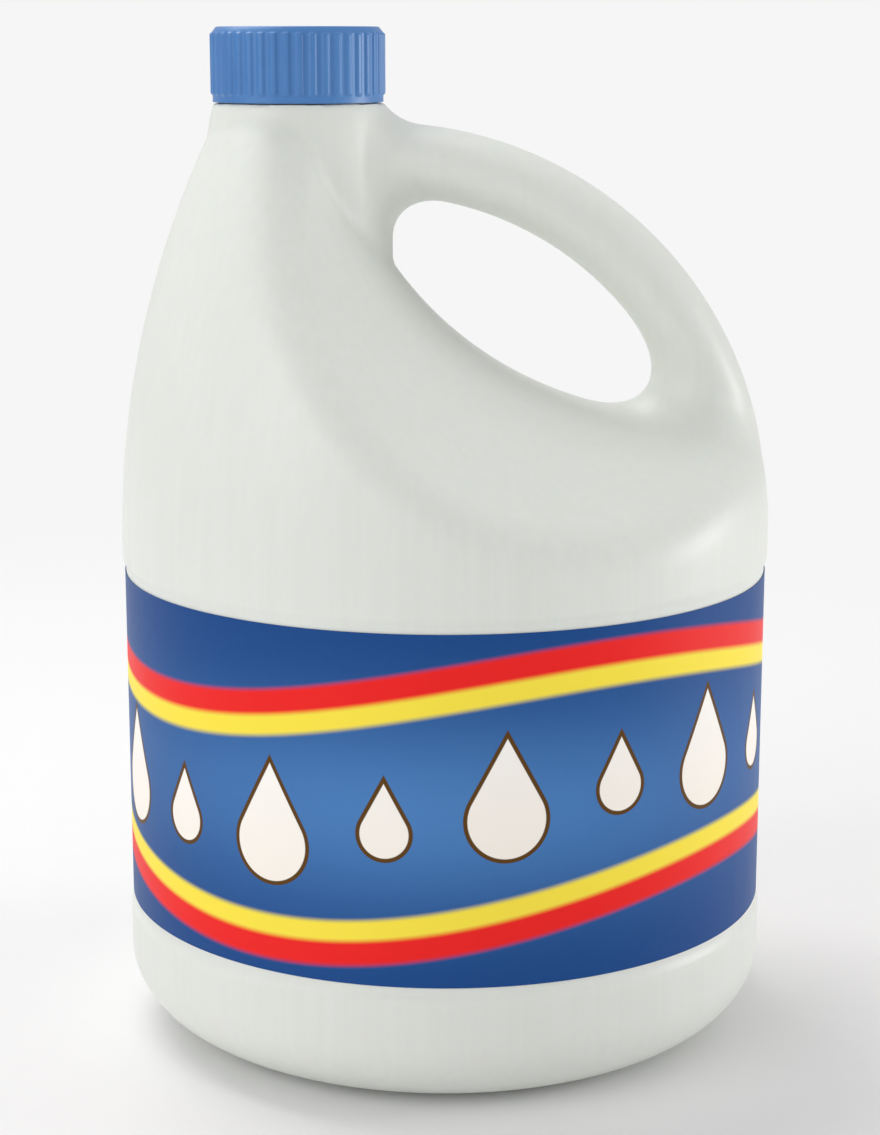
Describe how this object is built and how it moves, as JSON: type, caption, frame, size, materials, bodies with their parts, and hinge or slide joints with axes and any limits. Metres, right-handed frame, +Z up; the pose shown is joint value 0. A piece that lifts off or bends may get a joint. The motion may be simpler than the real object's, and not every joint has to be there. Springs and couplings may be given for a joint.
{
  "type": "bleach jug",
  "caption": "Round blow-moulded household jug with an offset neck, a through handle with finger pockets, a wrap label and a ribbed screw cap.",
  "frame": {"origin": "centre of the base, on the surface that the jug stands on", "axes": "+Z up, -Y is the label's front, +X is the side with the handle, and the neck stands off to -X"},
  "size_m": [0.1636, 0.1636, 0.2519],
  "materials": {
    "jug_plastic": "soft satin, opaque natural white polyethylene with a green-grey cast",
    "cap_plastic": "satin moulded blue polypropylene",
    "label_film": "printed film, satin gloss",
    "liner_foam": "smooth white foam"
  },
  "bodies": {
    "jug": {"jug_body": "jug_plastic", "label": "label_film"},
    "liner": {"cap_liner": "liner_foam"},
    "cap": {"screw_cap": "cap_plastic"}
  },
  "joints": [
    {"name": "cap_rise", "type": "slide", "parent": "jug", "child": "liner", "axis": [0, 0, 1], "range_m": [0, 0.02]},
    {"name": "cap_turn", "type": "hinge", "parent": "liner", "child": "cap", "pos_m": [-0.0362, 0, 0.2338], "axis": [0, 0, 1], "range_deg": [0, 900]}
  ],
  "couplings": [
    {"joint": "cap_rise", "follows": "cap_turn", "m_per_rad": 0.0012732}
  ]
}
